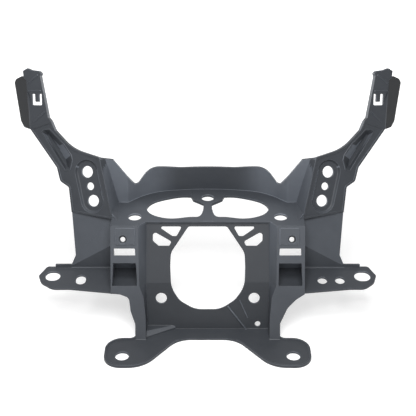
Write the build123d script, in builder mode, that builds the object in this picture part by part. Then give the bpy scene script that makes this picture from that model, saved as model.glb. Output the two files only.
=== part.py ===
from build123d import *

import os
from math import cos, radians, sin, tan

os.makedirs("parts", exist_ok=True)

# A motorcycle's front fairing stay, moulded in one piece. Millimetres. X runs across, from the rider's
# right arm to the left one, -Y faces forward and Z is up. It is drawn from a line a little in front of the
# foot bolts. The finished part is moved so that its origin is midway between them, under the feet.

# Driving dimensions
wall = 2.6
foot_thickness = 2.6
foot_rim = 0.8
foot_bolt_spacing = 184.0
foot_bolt_y = 2.0
foot_bolt_hole = 14.6
deck_height = 116.0
deck_front_bolt_spacing = 161.5
deck_front_bolt_y = 104.3
deck_rear_bolt_y = 148.0
deck_bolt_hole = 14.2
plate_half_width = 68.0
plate_bolt_spacing = 102.8
plate_bolt_hole = 12.2
plate_bolt_height = 37.6
plate_pin_hole = 6.2
low_plate_lean = 14.0
low_plate_foot_y = 51.1
high_plate_lean = 27.0
fold_y = 64.8
fold_height = 54.7
post_lean = 25.0
post_foot_y = 29.7
column_outer_x = 79.5
box_inner_x = 75.5
box_outer_x = 106.2
box_wall = 1.3
box_shift = 0.9
box_screw_hole = 5.4
box_screw_bore = 8.8
wing_tilt = 10.0
wing_front_y = 52.0
wing_height = 48.0
wing_back_y = 94.4
wing_thickness = 2.6
lip_top = 59.8
bead_top = 56.6
side_lean = 25.0
side_sweep = 15.2
mirror_sweep = 19.4
mirror_thickness = 4.0
mirror_bolt_spacing = 33.0
mirror_bolt_hole = 13.0
mirror_pin_hole = 8.6
mirror_seat_radius = 13.6
mirror_seat_depth = 2.8
mirror_seat_taper = 35.0
arm_depth = 5.0
arm_rim_width = 2.2
arm_rim_height = 0.8
channel_depth = 5.5
raised_edge = 0.6
rear_wall_height = 64.0
far = 500.0


# Planes of the leaning faces, for the half with positive X
def leaning_plane(point, lean, sweep=0.0):
    """A plane that faces forward, its top leaning back and its outer edge swept back, in degrees."""
    along = Vector(1, tan(radians(sweep)), 0)
    facing = Vector(tan(radians(sweep)), -1, tan(radians(lean)))
    return Plane(origin=point, x_dir=along, z_dir=facing)


post_front = leaning_plane((0, post_foot_y, 0), post_lean)
low_plate_front = leaning_plane((0, low_plate_foot_y, 0), low_plate_lean)
high_plate_front = leaning_plane((0, fold_y, fold_height), high_plate_lean)
side_front = leaning_plane((108.8, wing_back_y, 84.4), side_lean, side_sweep)
mirror_front = leaning_plane((106.9, 104, 114.8), side_lean, mirror_sweep)
tip_flange_front = leaning_plane((203.7, 197.8, 243), side_lean, 50)
lip_front = leaning_plane((0, wing_back_y, 0), 0)
wing_top = Plane(
    origin=(0, wing_front_y, wing_height),
    x_dir=(1, 0, 0),
    z_dir=(0, -sin(radians(wing_tilt)), cos(radians(wing_tilt))),
)


def at_front_view(plane, x, z):
    """The point of a plane that the front view shows at this x and z."""
    o, n = plane.origin, plane.z_dir
    return Vector(x, o.Y - ((x - o.X) * n.X + (z - o.Z) * n.Z) / n.Y, z)


def at_top_view(plane, x, y):
    """The point of a plane that the view from above shows at this x and y."""
    o, n = plane.origin, plane.z_dir
    return Vector(x, y, o.Z - ((x - o.X) * n.X + (y - o.Y) * n.Y) / n.Z)


def at_plate(plane, x, z):
    """The middle plate's own point at this x and z of the front view, brought square onto a plane."""
    point = at_front_view(low_plate_front if z < fold_height else high_plate_front, x, z)
    return point - plane.z_dir * (point - plane.origin).dot(plane.z_dir)


def outline(plane, corners, view=at_front_view):
    """A closed outline on a plane. Each corner is two coordinates of a view and the corner's radius."""
    points = [plane.to_local_coords(view(plane, a, b)) for a, b, _ in corners]
    with BuildSketch() as face:
        with BuildLine():
            FilletPolyline(*points, radius=[radius for _, _, radius in corners], close=True)
        make_face()
    return face.sketch


def sheet(plane, corners, thickness=wall, view=at_front_view, lift=0.0):
    """A flat sheet behind a plane, or raised above it by lift."""
    with BuildPart() as flat:
        with BuildSketch(plane.offset(lift)):
            add(outline(plane, corners, view))
        extrude(amount=-thickness - lift)
    return flat.part


def rim(plane, corners, width, depth, lift=0.0):
    """The wall that runs round a sheet's outline: it stands back from the plane, and above it by lift."""
    with BuildPart() as edge:
        with BuildSketch(plane.offset(lift)):
            add(outline(plane, corners))
            offset(outline(plane, corners), amount=-width, kind=Kind.INTERSECTION, mode=Mode.SUBTRACT)
        extrude(amount=-depth - lift)
    return edge.part


def dish(plane, rim_corners, floor_corners, depth):
    """The body between an outline on a plane and a smaller one that lies deeper."""
    with BuildPart() as body:
        with BuildSketch(plane):
            add(outline(plane, rim_corners))
        with BuildSketch(plane.offset(-depth)):
            add(outline(plane, floor_corners))
        loft(ruled=True)
    return body.part


def rib(plane, start, end, width, height):
    """A straight rib on a plane, between two points of the front view."""
    foot, tip = [plane.to_local_coords(at_front_view(plane, *point)) for point in (start, end)]
    across = (tip - foot).cross(Vector(0, 0, 1)).normalized() * (width / 2)
    with BuildPart() as bar:
        with BuildSketch(plane.offset(-1)):
            with BuildLine():
                Polyline(foot + across, tip + across, tip - across, foot - across, close=True)
            make_face()
        extrude(amount=height + 1)
    return bar.part


def upright(plane_x, corners, thickness=wall):
    """A sheet square to X, its inner face at plane_x. Each corner is (y, z)."""
    with BuildPart() as side:
        with BuildSketch(Plane.YZ.offset(plane_x)):
            with BuildLine():
                Polyline(*corners, close=True)
            make_face()
        extrude(amount=thickness)
    return side.part


def hole_plane(plane, x, z):
    """The plane's own frame, moved to a point of the front view."""
    return Plane(origin=at_front_view(plane, x, z), x_dir=plane.x_dir, z_dir=plane.z_dir)


def post_y(z):
    """How far back the face of the posts is at a height."""
    return at_front_view(post_front, 0, z).Y


def moved(corners, across):
    """The same outline moved across."""
    return [(a + across, b, radius) for a, b, radius in corners]


def grown(corners, amount):
    """The same outline with each corner further from the outline's middle."""
    middle = sum((Vector(a, b) for a, b, _ in corners), Vector()) / len(corners)
    outward = [(Vector(a, b) - middle).normalized() * amount for a, b, _ in corners]
    return [(a + out.X, b + out.Y, radius) for (a, b, radius), out in zip(corners, outward)]


def mirrored(corners):
    """The same outline on the other side of the middle, run the other way."""
    return [(-a, b, radius) for a, b, radius in reversed(corners)]


# Feet and the bar between them: one flat plate with a bead along its front edge
foot_corners = [(112, 33.5, 19), (79.6, 33.5, 7), (79.6, 55, 0)]
right_foot = [(31, 33.4, 28), (68.4, -16.0, 33), (111.2, -16.0, 18)] + moved(foot_corners, -0.8)
left_foot = [(32.4, 33.5, 28), (68.6, -16.0, 33), (111.4, -16.0, 18)] + moved(foot_corners, -0.6)
base_corners = right_foot + mirrored(left_foot)

with BuildPart() as base:
    with BuildSketch():
        add(outline(Plane.XY, base_corners, at_top_view))
    extrude(amount=foot_thickness)
    with BuildSketch(Plane.XY.offset(foot_thickness)):
        add(outline(Plane.XY, base_corners, at_top_view))
        offset(outline(Plane.XY, base_corners, at_top_view), amount=-2.2, mode=Mode.SUBTRACT)
        with Locations((0, 60)):
            Rectangle(2 * 79, 60, mode=Mode.SUBTRACT)
    extrude(amount=foot_rim)

# Middle plate: folded once on its way from the bar up to the deck
high_plate_top_y = fold_y + tan(radians(high_plate_lean)) * (deck_height - 1 - fold_height)
opening_top = [(21.2, 110.2, 4), (40.7, 84.3, 16), (41.3, 70, 40)]
right_opening = opening_top + [(40.6, 50, 30), (30.2, 35.5, 18), (14, 24.8, 26)]
left_opening = opening_top + [(40.3, 48.8, 30), (30.8, 34.4, 18), (14, 24.8, 26)]
triangle_corners = [(54.4, 110.2, 1.5), (28.4, 110.2, 1.5), (34.4, 100.8, 2), (39.0, 100.8, 1)]
pentagon_corners = [(60.4, 105.8, 3), (40, 95.5, 2), (42.2, 91.3, 2), (54.2, 91.3, 1), (60.4, 96.2, 2)]

with BuildPart() as middle_plate:
    with BuildSketch(Plane.YZ):
        with BuildLine():
            Polyline(
                (low_plate_foot_y + tan(radians(low_plate_lean)) * foot_thickness / 2, foot_thickness / 2),
                (fold_y, fold_height),
                (high_plate_top_y, deck_height - 1),
            )
            offset(amount=wall, side=Side.RIGHT)
        make_face()
    extrude(amount=plate_half_width, both=True)
    with BuildSketch(high_plate_front.offset(5)):
        add(outline(high_plate_front, right_opening + mirrored(left_opening), at_plate))
        for corners in (triangle_corners, pentagon_corners):
            add(outline(high_plate_front, corners, at_plate))
            add(outline(high_plate_front, mirrored(corners), at_plate))
    extrude(amount=-40, mode=Mode.SUBTRACT)

# Deck: the instrument shelf, with two crescent openings and a back edge that follows the rear wall
with BuildSketch(mode=Mode.PRIVATE) as deck_outline:
    with BuildLine():
        rear_arc = ThreePointArc((-46, 166), (0, 170), (46, 166))
        TangentArc((46, 166), (82, 146), tangent=rear_arc % 1)
        Polyline((82, 146), (90, 139), (104, 139), (106.2, 104), (104.7, 83.7), (75.5, 83.7), (69, 93.5))
        Line((69, 93.5), (-69, 93.5))
        Polyline((-82, 146), (-90, 139), (-104, 139), (-106.2, 104))
        Polyline((-106.2, 104), (-104.7, 83.7), (-75.5, 83.7), (-69, 93.5))
        TangentArc((-46, 166), (-82, 146), tangent=(rear_arc % 0) * -1)
    make_face()

with BuildSketch(mode=Mode.PRIVATE) as crescent:
    with BuildLine():
        front_points = [(68.6, 122.6), (55.6, 105.2), (37, 100.9), (18, 104.6), (5, 122)]
        front_curve = Spline(*front_points, tangents=((-0.2, -1), (-0.1, 1)))
        FilletPolyline(front_curve @ 1, (4.4, 133.5), (16.6, 144), (19.2, 153), radius=1.5)
        Spline((19.2, 153), (48, 147.3), front_curve @ 0, tangents=((1, 0.2), (0.1, -1)))
    make_face()

with BuildPart() as deck:
    with BuildSketch(Plane.XY.offset(deck_height)):
        add(deck_outline.sketch)
        add(crescent.sketch, mode=Mode.SUBTRACT)
        add(mirror(crescent.sketch, about=Plane.YZ, mode=Mode.PRIVATE), mode=Mode.SUBTRACT)
    extrude(amount=-wall)

# Boss round the rear hole, with the narrow bar between the crescents
boss_corners = [(19.5, 160, 3), (17.6, 144.2, 2), (4.9, 134.2, 2), (4.9, 93.7, 0)]

with BuildPart() as deck_boss:
    with BuildSketch(Plane.XY.offset(deck_height - 1)):
        add(outline(Plane.XY, boss_corners + mirrored(boss_corners), at_top_view))
        add(crescent.sketch, mode=Mode.SUBTRACT)
        add(mirror(crescent.sketch, about=Plane.YZ, mode=Mode.PRIVATE), mode=Mode.SUBTRACT)
    extrude(amount=1 + raised_edge)

# Rear wall: stands on the deck's back edge, its straight crest between two notches
crest_corners = [
    (31, 144.4, 60),
    (66.5, 149.2, 18),
    (79.4, 134, 2.6),
    (82.4, 134.5, 2.6),
    (91.4, 150.6, 40),
    (105.2, 169.7, 1),
    (120, 171.6, 0),
    (126, 171.6, 0),
    (126, 100, 0),
]

with BuildPart() as rear_wall:
    with BuildSketch(Plane.XY.offset(deck_height - wall)):
        with BuildLine() as wall_line:
            crest_arc = ThreePointArc((-46, 166), (0, 170), (46, 166))
            TangentArc((46, 166), (82, 146), tangent=crest_arc % 1)
            FilletPolyline((82, 146), (90, 138), (120, 138), radius=4)
            TangentArc((-46, 166), (-82, 146), tangent=(crest_arc % 0) * -1)
            FilletPolyline((-82, 146), (-90, 138), (-120, 138), radius=4)
            offset(amount=wall, side=Side.LEFT)
        make_face()
    extrude(amount=rear_wall_height)
    with BuildSketch(Plane.XZ):
        add(outline(Plane.XZ, crest_corners + mirrored(crest_corners)))
    extrude(amount=-far, mode=Mode.INTERSECT)

# Tub side: the wall between the mirror face's inner ridge and the rear wall, with a slight twist
tub_levels = [(deck_height - wall, 105.1, 100), (171, 119.2, 112.5)]
tub_back_y = 139.2

with BuildPart() as tub_side:
    for height, ridge_x, back_x in tub_levels:
        ridge = at_front_view(mirror_front, ridge_x, height)
        with BuildSketch(Plane.XY.offset(height)):
            with BuildLine():
                Polyline(
                    (ridge_x, ridge.Y),
                    (ridge_x + wall, ridge.Y + 1.3),
                    (back_x + wall, tub_back_y),
                    (back_x, tub_back_y),
                    close=True,
                )
            make_face()
    loft(ruled=True)

# Sill at the tub side's foot: it rises outward from the deck's flat pad to the ridge
sill_corners = [(98.6, 95), (105.9, 104.6), (101.5, 139.5), (100, tub_back_y)]
sill_height = 3.8
sill_front = Vector(*sill_corners[0], deck_height)
sill_side = Vector(*sill_corners[1], deck_height + sill_height)
sill_back = Vector(*sill_corners[3], deck_height)
sill_slope = Plane(
    origin=sill_front,
    x_dir=sill_back - sill_front,
    z_dir=(sill_side - sill_front).cross(sill_back - sill_front),
)

with BuildPart() as sill:
    with BuildSketch(Plane.XY.offset(deck_height - 1)):
        with BuildLine():
            Polyline(*sill_corners, close=True)
        make_face()
    extrude(amount=1 + sill_height)
    split(bisect_by=sill_slope, keep=Keep.BOTTOM)

# Inner wall of each post: drafted, so that it widens from the post's edge back to the middle plate
inner_wall_levels = [
    (0, 67.8, 67.6, 52.3),
    (25, 68.2, 67.5, 58.6),
    (45, 70.3, 67.3, 63.5),
    (fold_height + 2, 75.0, 66.8, 67.0),
    (deck_height - 0.5, 76.0, 66.2, 97.0),
]

with BuildPart() as inner_wall:
    for height, front_x, back_x, back_y in inner_wall_levels:
        with BuildSketch(Plane.XY.offset(height)):
            with BuildLine():
                Polyline(
                    (front_x, post_y(height)),
                    (front_x + wall, post_y(height)),
                    (back_x + wall, back_y),
                    (back_x, back_y),
                    close=True,
                )
            make_face()
    loft(ruled=True)

# Wedge at one post's foot, between the middle plate and the bar
wedge_height = foot_thickness + 3.7
wedge_toe = Vector(68.5, 35.5, foot_thickness)
wedge_ridge = Vector(68.5, 42, wedge_height)
wedge_end = Vector(36, 52.4, 5.4)
wedge_slope = Plane(
    origin=wedge_toe,
    x_dir=wedge_ridge - wedge_toe,
    z_dir=(wedge_ridge - wedge_toe).cross(wedge_end - wedge_toe),
)

with BuildPart() as wedge:
    with BuildSketch():
        with BuildLine():
            Polyline((68.5, 35.5), (68.5, 53), (36, 53), (36, 51), close=True)
        make_face()
    extrude(amount=wedge_height)
    split(bisect_by=wedge_slope, keep=Keep.BOTTOM)

# Face of the pocket box: raised square with a screw hole, slot and pocket
square_corners = [(100.7, 114.1, 0), (79.6, 114.1, 0), (79.6, 97.5, 0), (100.7, 97.5, 0)]
slot_corners = [(102.9, 93.7, 1), (79.6, 93.7, 1), (79.2, 86.8, 1), (103.1, 86.8, 1)]
pocket_corners = [(103.4, 78.8, 0), (78.6, 78.8, 0), (77.0, 56.4, 0), (104.4, 56.4, 0)]
box_screw_x = 92.7
box_screw_height = 103.2
box_side_corners = [
    (post_y(48), 48),
    (post_y(deck_height), deck_height),
    (105, deck_height),
    (98, 84),
    (wing_back_y + wall, 56),
]

# Faces of the posts, wings and their holes: the two sides differ
post_inner_edge = [
    (box_outer_x - 0.1, deck_height + 0.2, 0),
    (76, deck_height + 0.2, 0),
    (75, 56.7, 0),
    (70.3, 45, 8),
    (68.2, 25, 8),
]
left_post = post_inner_edge + [
    (67.8, 1.5, 0),
    (79.6, 1.5, 0),
    (79.6, 18, 8),
    (84.6, 31, 10),
    (86.4, 44.5, 6),
    (96, 47.8, 0),
    (box_outer_x - 0.1, 49.6, 0),
]
right_post = post_inner_edge + [
    (67.8, 1.5, 0),
    (79.3, 1.5, 0),
    (79.1, 18, 6),
    (87.6, 34.2, 15),
    (96.6, 42.4, 15),
    (box_outer_x - 0.1, 48.0, 0),
]
left_wing = [
    (box_inner_x, 51.9, 0),
    (92, 53.9, 0),
    (152.3, 61.6, 30),
    (171.4, 61.4, 14),
    (185, 70.8, 12),
    (188.9, 82, 3),
    (180.9, 97, 4),
    (box_inner_x, 97, 0),
]
right_wing = [
    (box_inner_x, 51.9, 0),
    (100, 55, 0),
    (157.6, 61.7, 30),
    (174, 61.6, 14),
    (184.8, 71, 12),
    (188.4, 82.2, 3),
    (180.7, 97, 4),
    (box_inner_x, 97, 0),
]
left_wing_holes = [(173.0, 81.3, 16.5, 14.5), (141.2, 75.5, 11.0, 14.6)]
right_wing_holes = [(172.7, 81.1, 18.0, 15.5), (147.0, 74.3, 10.6, 10.6), (127.5, 74.3, 10.6, 10.6)]

# Side panel, mirror face, arm and tip, all on leaning planes
panel_corners = [
    (105.2, 86.5, 0),
    (151, lip_top, 0),
    (153.6, lip_top - 0.8, 0),
    (148.4, 70, 4),
    (154.2, 136, 0),
    (107.6, 119, 0),
    (105.2, 112, 0),
]
lip_corners = [
    (box_inner_x, 50, 0),
    (171.5, 54, 0),
    (171.5, lip_top, 0),
    (151, lip_top, 0),
    (105.2, 86.5, 0),
    (105.2, 68, 0),
    (box_inner_x, 68, 0),
]
bead_corners = [(105.4, 53, 0), (153.5, 53, 0), (153.5, bead_top, 0), (105.4, bead_top, 0)]
mirror_corners = [
    (105.1, 113.5, 0),
    (119.8, 173.6, 0),
    (151.6, 178.3, 50),
    (171, 194, 6),
    (175.6, 202.9, 0),
    (200.8, 192.2, 0),
    (199.2, 190.2, 0),
    (169.2, 156.6, 4),
    (165.4, 143.2, 5),
    (155.5, 138.6, 3),
    (152.4, 113.8, 0),
]
arm_corners = [
    (151.6, 178.3, 0),
    (171, 194, 0),
    (175.6, 202.9, 0),
    (200.8, 192.2, 0),
    (199.2, 190.2, 0),
    (169.2, 156.6, 0),
    (146, 160, 0),
]
channel_corners = [
    (186, 190, 0),
    (183.6, 192.4, 0),
    (177.6, 193.4, 0),
    (162, 181.2, 0),
    (153.2, 171, 0),
    (152, 166.4, 0),
    (154.6, 157, 0),
    (159.2, 155.2, 0),
]
channel_floor = [
    (183.2, 187.4, 0),
    (182.4, 188.2, 0),
    (180.8, 188.4, 0),
    (168.6, 175.4, 0),
    (161.4, 165.8, 0),
    (160, 162.4, 0),
    (160.2, 160.2, 0),
    (161.6, 159.8, 0),
]
tip_corners = [
    (175.6, 202.9, 0),
    (178.9, 205.9, 0),
    (187.8, 247, 0),
    (186.4, 250, 0),
    (188.6, 251.9, 0),
    (198.5, 251.9, 0),
    (203, 253.2, 0),
    (208.6, 249.6, 0),
    (207.5, 242.4, 0),
    (204.5, 241, 0),
    (200.8, 192.2, 0),
]
tip_ribs = [
    ((202.5, 237.7), (190.4, 247.5)),
    ((195.8, 199.2), (182.4, 211.3)),
    ((202.5, 229.9), (187.1, 231.8)),
]
clip_slot_corners = [(197.7, 227.5, 0), (186.2, 228.9, 0), (185.8, 217.5, 1.2), (197.3, 216.2, 1.2)]
tongue_corners = [(194.4, 229.5, 0), (189.1, 230, 0), (188.7, 220.6, 0), (193.9, 219.9, 0)]
flange_corners = [
    (203.6, 243, 0),
    (210.9, 242.2, 4),
    (218.9, 236.2, 3),
    (221.6, 231.5, 2.5),
    (213, 195.2, 4),
    (208.5, 190.8, 4),
    (200.8, 192.2, 0),
]

mirror_centre = (131.9, 142.8)
mirror_axis_tilt = 69.5

with BuildPart() as half:
    add(tub_side.part)
    add(sill.part)
    add(inner_wall.part)
    add(upright(column_outer_x - wall, [(post_y(0), 0), (post_y(48), 48), (68, 51), (52.5, 0)]))
    add(upright(box_outer_x - box_wall, box_side_corners, box_wall))
    add(sheet(lip_front, lip_corners))
    add(sheet(lip_front, bead_corners, wall, lift=1.2))
    add(sheet(side_front, panel_corners))
    add(sheet(mirror_front, mirror_corners, mirror_thickness))
    add(sheet(mirror_front, arm_corners, arm_depth))
    add(rim(mirror_front, mirror_corners, arm_rim_width, arm_depth, arm_rim_height))
    add(sheet(mirror_front, tip_corners, wall - 1, lift=1.0))
    add(rim(mirror_front, tip_corners, wall, arm_depth))
    add(sheet(tip_flange_front, flange_corners))
    for start, end in tip_ribs:
        add(rib(mirror_front, start, end, 1.7, 1.0 + arm_rim_height))

    # Channel along the arm: sloping sides, a narrow floor and a raised edge
    add(dish(mirror_front, grown(channel_corners, 1.8), grown(channel_floor, 1.8), channel_depth + 1.4))
    with BuildSketch(mirror_front):
        add(outline(mirror_front, channel_corners))
        offset(amount=1.3, kind=Kind.INTERSECTION)
    extrude(amount=raised_edge)
    with BuildSketch(mirror_front.offset(1)):
        add(outline(mirror_front, channel_corners))
    extrude(amount=-1.05, mode=Mode.SUBTRACT)
    add(dish(mirror_front, channel_corners, channel_floor, channel_depth), mode=Mode.SUBTRACT)

    # Clip slot in the tip, with a tongue hanging from its top edge
    with BuildSketch(mirror_front.offset(2)):
        add(outline(mirror_front, clip_slot_corners))
        add(outline(mirror_front, tongue_corners), mode=Mode.SUBTRACT)
    extrude(amount=-far / 10, mode=Mode.SUBTRACT)

    # Mirror seat: an obround recess with drafted sides, two bolt holes and a pin hole
    with BuildSketch(hole_plane(mirror_front, *mirror_centre)):
        SlotCenterToCenter(mirror_bolt_spacing, 2 * mirror_seat_radius, rotation=mirror_axis_tilt)
    extrude(amount=-mirror_seat_depth - wall)
    with BuildSketch(hole_plane(mirror_front, *mirror_centre)):
        SlotCenterToCenter(mirror_bolt_spacing, 2 * mirror_seat_radius, rotation=mirror_axis_tilt)
    extrude(amount=-mirror_seat_depth, taper=mirror_seat_taper, mode=Mode.SUBTRACT)
    with Locations(hole_plane(mirror_front, *mirror_centre)):
        Hole(mirror_pin_hole / 2, depth=2 * mirror_thickness)
        with Locations(Rotation(0, 0, mirror_axis_tilt)):
            with GridLocations(mirror_bolt_spacing, 0, 2, 1):
                Hole(mirror_bolt_hole / 2, depth=2 * mirror_thickness)


def wing_and_post(wing_corners, post_corners, wing_holes, across=0.0):
    """One side's wing and post face, with the raised square, slot and pocket of its box moved across."""
    with BuildPart() as side:
        add(sheet(wing_top, wing_corners, wing_thickness, at_top_view))
        for x, y, width, length in wing_holes:
            centre = at_top_view(wing_top, x, y)
            with BuildSketch(Plane(origin=centre, x_dir=wing_top.x_dir, z_dir=wing_top.z_dir).offset(1)):
                if length > width:
                    SlotOverall(length, width, rotation=90)
                elif length < width:
                    SlotOverall(width, length)
                else:
                    Circle(width / 2)
            extrude(amount=-wing_thickness - 2, mode=Mode.SUBTRACT)
        add(sheet(post_front, post_corners))
        add(sheet(post_front, moved(square_corners, across), wall, lift=1.0))
        for corners in (slot_corners, pocket_corners):
            with BuildSketch(post_front.offset(2)):
                add(outline(post_front, moved(corners, across)))
            extrude(amount=-wall - 4, mode=Mode.SUBTRACT)
        with Locations(hole_plane(post_front.offset(1), box_screw_x + across, box_screw_height)):
            CounterBoreHole(box_screw_hole / 2, box_screw_bore / 2, 2.0, depth=2 * wall)
    return side.part


with BuildPart() as fairing_stay:
    add(base.part)
    add(middle_plate.part)
    add(deck.part)
    add(deck_boss.part)
    add(rear_wall.part)
    add(half.part)
    add(mirror(half.part, about=Plane.YZ, mode=Mode.PRIVATE))
    add(wing_and_post(right_wing, right_post, right_wing_holes, -box_shift))
    add(mirror(wing_and_post(left_wing, left_post, left_wing_holes), about=Plane.YZ, mode=Mode.PRIVATE))

    # One foot of the middle plate has the wedge, the other a rib and a fine line
    add(mirror(wedge.part, about=Plane.YZ, mode=Mode.PRIVATE))
    add(rib(low_plate_front, (22.2, 28.6), (44, 0.5), 1.6, 1.4))
    add(rib(low_plate_front, (35.4, 35.4), (44.5, 14.8), 1.0, 0.5))

    # Bolt holes of the feet, the deck and the middle plate
    with Locations((0, foot_bolt_y, foot_thickness + 1)):
        with GridLocations(foot_bolt_spacing, 0, 2, 1):
            Hole(foot_bolt_hole / 2, depth=foot_thickness + 2)
    with Locations((0, deck_front_bolt_y, deck_height + 1)):
        with GridLocations(deck_front_bolt_spacing, 0, 2, 1):
            Hole(deck_bolt_hole / 2, depth=wall + 2)
    with Locations((0, deck_rear_bolt_y, deck_height + 1)):
        Hole(deck_bolt_hole / 2, depth=wall + 2)
    for x in (-plate_bolt_spacing / 2, plate_bolt_spacing / 2):
        with Locations(hole_plane(low_plate_front.offset(1), x, plate_bolt_height)):
            Hole(plate_bolt_hole / 2, depth=2 * wall)
    with Locations(hole_plane(low_plate_front.offset(1), 55.6, 8.2)):
        Hole(plate_pin_hole / 2, depth=2 * wall)

# The finished part, with its origin between the foot bolts
stay = Pos(0, -foot_bolt_y, 0) * fairing_stay.part
stay.label = "fairing_stay"
export_step(stay, "parts/fairing_stay.step")
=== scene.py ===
from math import cos, radians, sin, tan

import bmesh
import bpy
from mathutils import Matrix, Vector
from mathutils.kdtree import KDTree


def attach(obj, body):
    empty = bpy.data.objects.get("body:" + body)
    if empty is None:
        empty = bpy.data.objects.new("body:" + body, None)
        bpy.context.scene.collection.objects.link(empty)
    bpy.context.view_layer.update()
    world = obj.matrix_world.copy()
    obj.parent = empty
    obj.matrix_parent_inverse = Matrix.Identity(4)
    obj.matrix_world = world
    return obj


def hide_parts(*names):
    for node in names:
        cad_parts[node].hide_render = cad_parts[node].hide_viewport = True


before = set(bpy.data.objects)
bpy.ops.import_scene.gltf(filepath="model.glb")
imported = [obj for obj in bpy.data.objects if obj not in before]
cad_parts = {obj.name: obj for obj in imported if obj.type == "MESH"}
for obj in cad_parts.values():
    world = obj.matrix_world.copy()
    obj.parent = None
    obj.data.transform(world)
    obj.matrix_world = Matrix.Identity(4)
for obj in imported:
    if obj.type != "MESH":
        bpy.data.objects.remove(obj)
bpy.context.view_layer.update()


def facing(lean, sweep=0.0):
    """The direction that a leaning, swept face looks in, on the side with positive X."""
    return Vector((tan(radians(sweep)), -1.0, tan(radians(lean)))).normalized()


# Lengths are in metres and colours are linear.

# The rounded edges: the widest rounding, how sharp an edge gets one, and its share of the room beside it
MOULD_EDGE = 0.0008
EDGE_ANGLE = radians(28)
EDGE_SHARE = 0.4
# The spacing of the marks that measure the room, and how little a run of edges turns from one to the next
MARK_STEP = 0.0006
RUN_TURN = radians(40)
# What counts as one point and as one flat face when the solid's triangles are merged
SAME_POINT = 0.00001
FLAT = radians(0.6)

# The plastic's colour, between its dark and pale flow marks
BLACK_PLASTIC = (0.046, 0.051, 0.060)
PALE_PLASTIC = (0.057, 0.063, 0.073)
# Its patterns: scale, detail and roughness of each
FLOW_MARKS = (16.0, 3.0, 0.55)
CLOUDS = (70.0, 2.0, 0.5)
GRAIN = (1500.0, 2.0, 0.6)
FLOW_SHARE = 0.65
CLOUD_SHARE = 0.35
FLOW_RANGE = (0.3, 0.7)
# Its satin gloss, and what the clouds and the grain add to the roughness
SATIN = 0.40
CLOUD_ROUGHNESS = 0.12
GRAIN_ROUGHNESS = 0.06
GRAIN_STRENGTH = 0.25
GRAIN_HEIGHT = 0.00012
PLASTIC_IOR = 1.49
PLASTIC_SPECULAR = 0.3
# A rounded edge beside a face: how much paler it is painted, as a painted highlight, and how much smoother
# its gloss is
EDGE_PALER = 1.9
EDGE_SMOOTHER = 0.08

# How much paler or darker each group of faces is painted, beside the plastic's own colour: painted light and
# shade for how the light falls on each face, with painted highlights on the rib tops, painted light in the
# pockets and on the tub's sides, and painted shade in the counterbores and on the flanges.
# Pairs are places and the tones there: up the posts, back over the deck and outwards along the rear wall.
POST_TONES = ((0.020, 1.00), (0.095, 1.28))
DECK_TONES = ((0.120, 1.12), (0.150, 0.78))
REAR_WALL_TONES = ((0.030, 0.95), (0.072, 2.3))
HIGH_PLATE_TONE = 0.66
LOW_PLATE_TONE = 0.63
RIB_TONE = 1.50
PANEL_TONE = 1.26
MIRROR_TONE = 0.72
FLANGE_TONE = 0.25
WING_TONE = 0.76
FOOT_TONE = 0.70
BORE_TONE = 0.35
POCKET_TONE = 2.0
TUB_SIDE_TONE = 1.7
ARM_TONE = 0.68
PLAIN_TONE = 1.0

# Where the groups of faces look, on the side with positive X, and how nearly a face has to look there
HIGH_PLATE = facing(27)
LOW_PLATE = facing(14)
POST = facing(25)
PANEL = facing(25, 15.2)
MIRROR = facing(25, 19.4)
FLANGE = facing(25, 50)
WING = Vector((0.0, -sin(radians(10)), cos(radians(10))))
SAME_FACING = cos(radians(1.5))
TUB_SIDE_LOOK = -0.75
UPRIGHT_LOOK = 0.05
UNDERSIDE_LOOK = -0.5

# Points of the lower plate's and the posts' front planes, and how far from the planes the forms on them are
LOW_PLATE_POINT = Vector((0.0, 0.0491, 0.0))
POST_POINT = Vector((0.0, 0.0277, 0.0))
RIB_HEIGHT = 0.0003
BORE_HEIGHT = 0.0008
POCKET_DEPTH = 0.0015

# Where the forms are
BOX_SCREW = Vector((0.0923, 0.0758, 0.1032))
BORE_RADIUS = 0.0046
POCKET_ACROSS = (0.077, 0.105)
POCKET_UP = (0.048, 0.084)
DECK_HEIGHT = 0.1135
REAR_WALL_FRONT = 0.1
ARM_HEIGHT = 0.150
TUB_HALF_WIDTH = 0.100

# The floor's grey, its glow near the object, and what the glow gains between two distances
FLOOR_GREY = 0.62
FLOOR_GLOW = 0.55
FLOOR_GLOW_GAIN = 0.4
FLOOR_GLOW_FROM = 0.25
FLOOR_GLOW_TO = 0.9
FLOOR_SIZE = 6.0

# The room's light, and the soft lamps: name, place, size and power of each, and what they are aimed at
ROOM_LIGHT = 0.1
LAMP_AIM = Vector((0.0, 0.08, 0.12))
LAMPS = (
    ("front_panel", (0.0, -0.4, 0.8), 0.5, 8.8),
    ("rear_panel", (0.0, 0.45, 0.75), 0.5, 1.2),
    ("left_panel", (-0.4, 0.05, 0.75), 0.4, 1.2),
    ("back_panel_left", (-0.6, 1.1, 0.12), 0.4, 3.0),
    ("back_panel_right", (0.6, 1.1, 0.12), 0.4, 3.0),
    ("far_panel", (0.0, -2.0, 0.9), 1.2, 2.7),
)

# The camera, 29 degrees above the horizon
CAMERA_PLACE = (0.0, -0.8698, 0.6661)
CAMERA_TILT = radians(61)
CAMERA_LENS = 87.3
CAMERA_SHIFT = 0.0007


class Socket:
    """A shader socket with Python's operators: each adds the Math node that it stands for."""

    def __init__(self, finish, socket):
        self.finish, self.socket = finish, socket

    def maths(self, operation, first, second):
        return self.finish.node("ShaderNodeMath", "Value", {0: first, 1: second}, operation=operation)

    def __add__(self, other):
        return self.maths("ADD", self, other)

    def __radd__(self, other):
        return self.maths("ADD", other, self)

    def __sub__(self, other):
        return self.maths("SUBTRACT", self, other)

    def __rsub__(self, other):
        return self.maths("SUBTRACT", other, self)

    def __mul__(self, other):
        return self.maths("MULTIPLY", self, other)

    def __rmul__(self, other):
        return self.maths("MULTIPLY", other, self)


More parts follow.
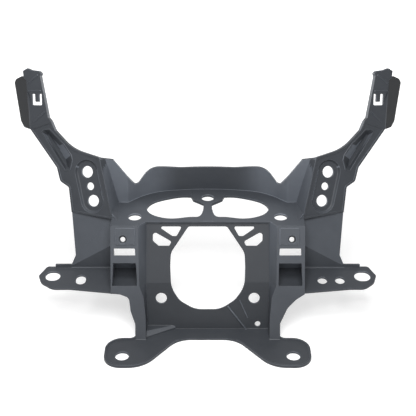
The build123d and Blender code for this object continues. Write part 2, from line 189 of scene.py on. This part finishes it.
class Finish:
    """A material, or the room's light, under construction."""

    def __init__(self, name, kind=bpy.data.materials, end="ShaderNodeOutputMaterial"):
        self.made = kind.new(name)
        self.made.use_nodes = True
        self.tree = self.made.node_tree
        self.tree.nodes.clear()
        self.end = end

    def node(self, kind, output, inputs=None, **settings):
        """Adds a node: its settings come first, then the values or links of its sockets."""
        made = self.tree.nodes.new(kind)
        for name, value in settings.items():
            setattr(made, name, value)
        for name, value in (inputs or {}).items():
            if isinstance(value, Socket):
                self.tree.links.new(value.socket, made.inputs[name])
            else:
                made.inputs[name].default_value = value
        return Socket(self, made.outputs[output])

    def noise(self, place, pattern):
        """A cloudy pattern of a scale, a detail and a roughness."""
        scale, detail, roughness = pattern
        inputs = {"Vector": place, "Scale": scale, "Detail": detail, "Roughness": roughness}
        return self.node("ShaderNodeTexNoise", "Fac", inputs)

    def spread(self, value, lowest, highest, **settings):
        """A value spread so that its lowest becomes nothing and its highest one."""
        inputs = {"Value": value, "From Min": lowest, "From Max": highest, "To Min": 0.0, "To Max": 1.0}
        return self.node("ShaderNodeMapRange", "Result", inputs, **settings)

    def attribute(self, name):
        return self.node("ShaderNodeAttribute", "Fac", attribute_name=name)

    def camera_sees(self):
        """One where a ray comes from the camera, a reflection or a clear surface, and otherwise nothing."""
        camera = self.node("ShaderNodeLightPath", "Is Camera Ray")
        glossy = self.node("ShaderNodeLightPath", "Is Glossy Ray")
        clear = self.node("ShaderNodeLightPath", "Is Transmission Ray")
        return camera + glossy + clear

    def surface(self, shader):
        out = self.tree.nodes.new(self.end)
        self.tree.links.new(shader.socket, out.inputs["Surface"])
        return self.made


def colour(values):
    return (*values, 1.0)


def moulded_plastic(name, paler, smoother):
    """Black moulded plastic: satin, finely grained, with faint flow marks, and painted light and shade per
    face, on a face or on an edge painted paler as a highlight.
    """
    finish = Finish(name)
    place = finish.node("ShaderNodeTexCoord", "Object")
    flow = finish.noise(place, FLOW_MARKS)
    cloud = finish.noise(place, CLOUDS)
    grain = finish.noise(place, GRAIN)
    shade = finish.spread(flow * FLOW_SHARE + cloud * CLOUD_SHARE, *FLOW_RANGE)
    tint = finish.node(
        "ShaderNodeMix", 2, {0: shade, 6: colour(BLACK_PLASTIC), 7: colour(PALE_PLASTIC)}, data_type="RGBA"
    )
    # Each face is painted paler or darker for light and shade, and an edge paler still as a painted
    # highlight.
    scale = finish.attribute("painted_light") * (1.0 + (paler - 1.0) * finish.attribute("painted_highlight_mask"))
    tint = finish.node("ShaderNodeVectorMath", "Vector", {0: tint, "Scale": scale}, operation="SCALE")
    rough = SATIN - smoother + CLOUD_ROUGHNESS * cloud + GRAIN_ROUGHNESS * grain
    bump = finish.node(
        "ShaderNodeBump", "Normal", {"Strength": GRAIN_STRENGTH, "Distance": GRAIN_HEIGHT, "Height": grain}
    )
    inputs = {
        "Base Color": tint, "Roughness": rough, "Normal": bump, "IOR": PLASTIC_IOR,
        "Specular IOR Level": PLASTIC_SPECULAR,
    }
    return finish.surface(finish.node("ShaderNodeBsdfPrincipled", "BSDF", inputs))


def pale_floor():
    """A plain pale floor that the camera sees as white, with the object's soft shadow kept."""
    finish = Finish("pale_floor")
    place = finish.node("ShaderNodeTexCoord", "Object")
    distance = finish.node("ShaderNodeVectorMath", "Value", {0: place}, operation="LENGTH")
    away = finish.spread(distance, FLOOR_GLOW_FROM, FLOOR_GLOW_TO, interpolation_type="SMOOTHSTEP")
    diffuse = finish.node("ShaderNodeBsdfDiffuse", "BSDF", {"Color": colour((FLOOR_GREY,) * 3)})
    white = colour((1.0, 1.0, 1.0))
    strength = finish.camera_sees() * (FLOOR_GLOW + FLOOR_GLOW_GAIN * away)
    glow = finish.node("ShaderNodeEmission", "Emission", {"Color": white, "Strength": strength})
    return finish.surface(finish.node("ShaderNodeAddShader", "Shader", {0: diffuse, 1: glow}))


def shown(name, data):
    """An object of the scene, at the origin until it is placed."""
    made = bpy.data.objects.new(name, data)
    bpy.context.scene.collection.objects.link(made)
    return made


def piece(name, shape):
    """A finished mesh as an object at the origin."""
    mesh = bpy.data.meshes.new(name)
    shape.to_mesh(mesh)
    shape.free()
    return shown(name, mesh)


def blend(value, first, last):
    """The tone at a place between two pairs of a place and a tone, smoothly, and level beyond them."""
    (start, start_tone), (end, end_tone) = first, last
    share = min(1.0, max(0.0, (value - start) / (end - start)))
    return start_tone + (end_tone - start_tone) * share * share * (3 - 2 * share)


def painted_shading(face, point):
    """The painted light and shade of a face at one of its points: how much paler or darker it is painted, by
    the way that the face looks and where it is.
    """
    middle = face.calc_center_median()
    side = 1.0 if middle.x > 0 else -1.0
    look = Vector((face.normal.x * side, face.normal.y, face.normal.z))
    place = Vector((point.x * side, point.y, point.z))
    middle.x *= side

    def looks(direction):
        return look.dot(direction) > SAME_FACING

    from_screw = place - BOX_SCREW
    from_axis = from_screw - POST * from_screw.dot(POST)
    if from_axis.length < BORE_RADIUS and (place - POST_POINT).dot(POST) < BORE_HEIGHT:
        return BORE_TONE
    if looks(WING):
        return WING_TONE
    behind_post = (middle - POST_POINT).dot(POST) < -POCKET_DEPTH and look.z > UNDERSIDE_LOOK
    in_pocket = POCKET_ACROSS[0] < middle.x < POCKET_ACROSS[1] and POCKET_UP[0] < middle.z < POCKET_UP[1]
    if behind_post and in_pocket:
        return POCKET_TONE
    if looks(HIGH_PLATE):
        return HIGH_PLATE_TONE
    if looks(LOW_PLATE):
        return RIB_TONE if (middle - LOW_PLATE_POINT).dot(LOW_PLATE) > RIB_HEIGHT else LOW_PLATE_TONE
    if looks(POST):
        return blend(place.z, *POST_TONES)
    if looks(PANEL):
        return PANEL_TONE
    if looks(MIRROR):
        return MIRROR_TONE
    if looks(FLANGE):
        return FLANGE_TONE
    on_deck = place.z > DECK_HEIGHT
    if look.z > SAME_FACING:
        return blend(place.y, *DECK_TONES) if on_deck else FOOT_TONE
    if on_deck and look.x < TUB_SIDE_LOOK:
        return TUB_SIDE_TONE
    if on_deck and place.y > REAR_WALL_FRONT and abs(look.z) < UPRIGHT_LOOK and look.y < 0:
        return blend(place.x, *REAR_WALL_TONES)
    return ARM_TONE if place.z > ARM_HEIGHT else PLAIN_TONE


def in_tub(edge):
    """Whether an edge is one of the corners between the deck and the walls round it."""
    return all(vertex.co.z > DECK_HEIGHT and abs(vertex.co.x) < TUB_HALF_WIDTH for vertex in edge.verts)


def edge_room(sharp):
    """How far each sharp edge is from the nearest one that it doesn't meet."""
    marks = []
    for edge in sharp:
        start, end = (vertex.co for vertex in edge.verts)
        steps = max(2, int((end - start).length / MARK_STEP))
        marks += [(start.lerp(end, (step + 0.5) / steps), edge) for step in range(steps)]
    tree = KDTree(len(marks))
    for number, (place, _) in enumerate(marks):
        tree.insert(place, number)
    tree.balance()
    room = {edge: 1.0 for edge in sharp}
    reach = MOULD_EDGE / EDGE_SHARE
    for place, edge in marks:
        for _, number, distance in tree.find_range(place, reach):
            other = marks[number][1]
            if distance < room[edge] and not set(edge.verts) & set(other.verts):
                room[edge] = distance
    return even_room(room)


def even_room(room):
    """The same room all along each run of edges that goes on without a corner: the least on the run."""
    done = set()
    for first in room:
        if first in done:
            continue
        run, waiting = [], [first]
        done.add(first)
        while waiting:
            edge = waiting.pop()
            run.append(edge)
            for vertex in edge.verts:
                away = (edge.other_vert(vertex).co - vertex.co).normalized()
                for other in vertex.link_edges:
                    if other in room and other not in done:
                        on = (other.other_vert(vertex).co - vertex.co).normalized()
                        if away.dot(on) < -cos(RUN_TURN):
                            done.add(other)
                            waiting.append(other)
        least = min(room[edge] for edge in run)
        for edge in run:
            room[edge] = least
    return room


def moulded_stay(face_plastic, edge_plastic):
    """The stay's solid, merged, with each edge rounded over as far as its neighbours leave room."""
    shape = bmesh.new()
    shape.from_mesh(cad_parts["fairing_stay"].data)
    bmesh.ops.remove_doubles(shape, verts=shape.verts, dist=SAME_POINT)
    bmesh.ops.dissolve_limit(shape, angle_limit=FLAT, verts=shape.verts, edges=shape.edges)
    bmesh.ops.connect_verts_concave(shape, faces=shape.faces)
    shape.normal_update()
    painted_light = shape.loops.layers.float.new("painted_light")
    painted_highlight_mask = shape.loops.layers.float.new("painted_highlight_mask")
    weight = shape.edges.layers.float.new("bevel_weight_edge")
    sharp = [edge for edge in shape.edges if edge.is_manifold and edge.calc_face_angle() > EDGE_ANGLE]
    # Every face gets its painted light and shade; inner corners outside the tub get no painted highlight on
    # their edges.
    inner = {vertex for edge in sharp if not edge.is_convex and not in_tub(edge) for vertex in edge.verts}
    for face in shape.faces:
        for loop in face.loops:
            loop[painted_light] = painted_shading(face, loop.vert.co)
            loop[painted_highlight_mask] = 0.0 if loop.vert in inner else 1.0
    for edge, room in edge_room(sharp).items():
        edge[weight] = min(1.0, EDGE_SHARE * room / MOULD_EDGE)
    stay = piece("moulded_stay", shape)
    stay.data.shade_smooth()
    stay.data.set_sharp_from_angle(angle=EDGE_ANGLE)
    rounding = stay.modifiers.new("mould_edge", "BEVEL")
    rounding.width = MOULD_EDGE
    rounding.segments = 2
    rounding.limit_method = "WEIGHT"
    rounding.use_clamp_overlap = False
    rounding.loop_slide = False
    rounding.material = 1
    stay.modifiers.new("flat_faces", "WEIGHTED_NORMAL").keep_sharp = True
    stay.data.materials.append(face_plastic)
    stay.data.materials.append(edge_plastic)
    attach(stay, "root")
    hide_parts("fairing_stay")


def floor(material):
    shape = bmesh.new()
    bmesh.ops.create_grid(shape, x_segments=1, y_segments=1, size=FLOOR_SIZE)
    ground = piece("floor", shape)
    ground.data.materials.append(material)


def lamp(name, place, size, power):
    """A square soft light at a place, turned to the object's middle."""
    light = bpy.data.lights.new(name, "AREA")
    light.shape = "SQUARE"
    light.size = size
    light.energy = power
    holder = shown(name, light)
    holder.location = place
    holder.rotation_euler = (LAMP_AIM - Vector(place)).to_track_quat("-Z", "Y").to_euler()


def studio():
    """A light tent: soft panels above the front, behind, at the left, low at the back and far in front."""
    for name, place, size, power in LAMPS:
        lamp(name, place, size, power)
    room = Finish("room", bpy.data.worlds, "ShaderNodeOutputWorld")
    strength = ROOM_LIGHT + (1.0 - ROOM_LIGHT) * room.camera_sees()
    light = room.node("ShaderNodeBackground", "Background", {"Strength": strength})
    bpy.context.scene.world = room.surface(light)


def camera():
    """A view from the front and above, level from side to side."""
    lens = bpy.data.cameras.new("camera")
    lens.lens = CAMERA_LENS
    lens.sensor_width = 36.0
    lens.clip_end = 30.0
    lens.shift_x = CAMERA_SHIFT
    holder = shown("camera", lens)
    holder.location = CAMERA_PLACE
    holder.rotation_euler = (CAMERA_TILT, 0.0, 0.0)
    bpy.context.scene.camera = holder


camera()
# The faces carry painted light and shade; the rounded edges also carry a painted highlight.
moulded_stay(
    moulded_plastic("black_plastic", 1.0, 0.0),
    moulded_plastic("painted_highlight_edge", EDGE_PALER, EDGE_SMOOTHER),
)
floor(pale_floor())
studio()
bpy.context.scene.view_settings.view_transform = "Standard"
